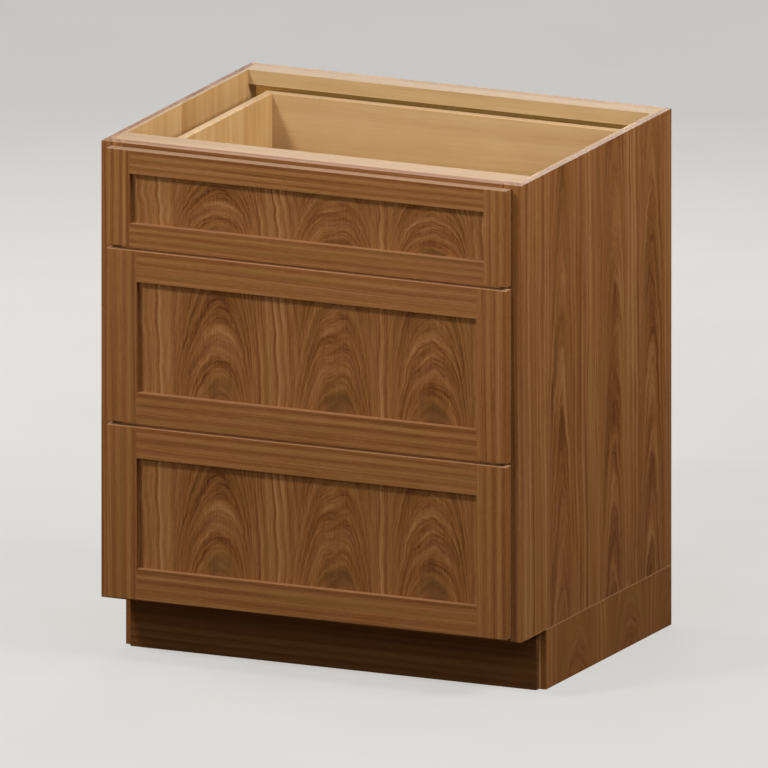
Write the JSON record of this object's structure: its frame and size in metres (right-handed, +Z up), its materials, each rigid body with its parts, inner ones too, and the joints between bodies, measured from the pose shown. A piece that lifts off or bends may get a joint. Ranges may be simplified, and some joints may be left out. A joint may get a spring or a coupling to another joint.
{
  "type": "base cabinet with drawers",
  "caption": "Face-frame kitchen base cabinet in dark wood with recessed-panel drawers on telescopic slides, an open top for a worktop and a recessed toe kick.",
  "frame": {"origin": "on the floor, at the centre of the closed cabinet's footprint", "axes": "+Z up, the drawer fronts face -Y, +X to the right of someone who faces the cabinet"},
  "size_m": [0.762, 0.613, 0.8763],
  "materials": {
    "walnut": "satin clear finish",
    "maple": "satin clear finish",
    "slide_steel": "bright zinc plated",
    "slide_plastic": "black moulding"
  },
  "bodies": {
    "cabinet": {"left_side_panel": "walnut", "right_side_panel": "walnut", "deck_panel": "maple", "back_panel": "maple", "front_stretcher": "maple", "back_stretcher": "maple", "slide_cleats": "maple", "frame_left_stile": "walnut", "frame_right_stile": "walnut", "frame_top_rail": "walnut", "frame_upper_rail": "walnut", "frame_lower_rail": "walnut", "frame_bottom_rail": "walnut", "plinth_left_side": "walnut", "plinth_right_side": "walnut", "plinth_front_rail": "maple", "plinth_back_rail": "maple", "toe_kick_board": "walnut", "top_drawer_slide_outer_members": "slide_steel", "middle_drawer_slide_outer_members": "slide_steel", "bottom_drawer_slide_outer_members": "slide_steel"},
    "top_drawer": {"top_drawer_front_left_stile": "walnut", "top_drawer_front_right_stile": "walnut", "top_drawer_front_upper_rail": "walnut", "top_drawer_front_lower_rail": "walnut", "top_drawer_front_panel": "walnut", "top_drawer_slide_release_levers": "slide_plastic", "top_drawer_box_left_side": "maple", "top_drawer_box_right_side": "maple", "top_drawer_box_front": "maple", "top_drawer_box_back": "maple", "top_drawer_box_bottom": "maple", "top_drawer_slide_inner_members": "slide_steel"},
    "top_drawer_slide_middles": {"top_drawer_slide_middle_members": "slide_steel"},
    "middle_drawer": {"middle_drawer_front_left_stile": "walnut", "middle_drawer_front_right_stile": "walnut", "middle_drawer_front_upper_rail": "walnut", "middle_drawer_front_lower_rail": "walnut", "middle_drawer_front_panel": "walnut", "middle_drawer_slide_release_levers": "slide_plastic", "middle_drawer_box_left_side": "maple", "middle_drawer_box_right_side": "maple", "middle_drawer_box_front": "maple", "middle_drawer_box_back": "maple", "middle_drawer_box_bottom": "maple", "middle_drawer_slide_inner_members": "slide_steel"},
    "middle_drawer_slide_middles": {"middle_drawer_slide_middle_members": "slide_steel"},
    "bottom_drawer": {"bottom_drawer_front_left_stile": "walnut", "bottom_drawer_front_right_stile": "walnut", "bottom_drawer_front_upper_rail": "walnut", "bottom_drawer_front_lower_rail": "walnut", "bottom_drawer_front_panel": "walnut", "bottom_drawer_slide_release_levers": "slide_plastic", "bottom_drawer_box_left_side": "maple", "bottom_drawer_box_right_side": "maple", "bottom_drawer_box_front": "maple", "bottom_drawer_box_back": "maple", "bottom_drawer_box_bottom": "maple", "bottom_drawer_slide_inner_members": "slide_steel"},
    "bottom_drawer_slide_middles": {"bottom_drawer_slide_middle_members": "slide_steel"}
  },
  "joints": [
    {"name": "top_drawer_slide", "type": "slide", "parent": "cabinet", "child": "top_drawer", "axis": [0, -1, 0], "range_m": [0, 0.5334]},
    {"name": "top_drawer_slide_middle_travel", "type": "slide", "parent": "cabinet", "child": "top_drawer_slide_middles", "axis": [0, -1, 0], "range_m": [0, 0.2667]},
    {"name": "middle_drawer_slide", "type": "slide", "parent": "cabinet", "child": "middle_drawer", "axis": [0, -1, 0], "range_m": [0, 0.5334]},
    {"name": "middle_drawer_slide_middle_travel", "type": "slide", "parent": "cabinet", "child": "middle_drawer_slide_middles", "axis": [0, -1, 0], "range_m": [0, 0.2667]},
    {"name": "bottom_drawer_slide", "type": "slide", "parent": "cabinet", "child": "bottom_drawer", "axis": [0, -1, 0], "range_m": [0, 0.5334]},
    {"name": "bottom_drawer_slide_middle_travel", "type": "slide", "parent": "cabinet", "child": "bottom_drawer_slide_middles", "axis": [0, -1, 0], "range_m": [0, 0.2667]}
  ],
  "couplings": [
    {"joint": "top_drawer_slide_middle_travel", "follows": "top_drawer_slide", "ratio": 0.5},
    {"joint": "middle_drawer_slide_middle_travel", "follows": "middle_drawer_slide", "ratio": 0.5},
    {"joint": "bottom_drawer_slide_middle_travel", "follows": "bottom_drawer_slide", "ratio": 0.5}
  ]
}
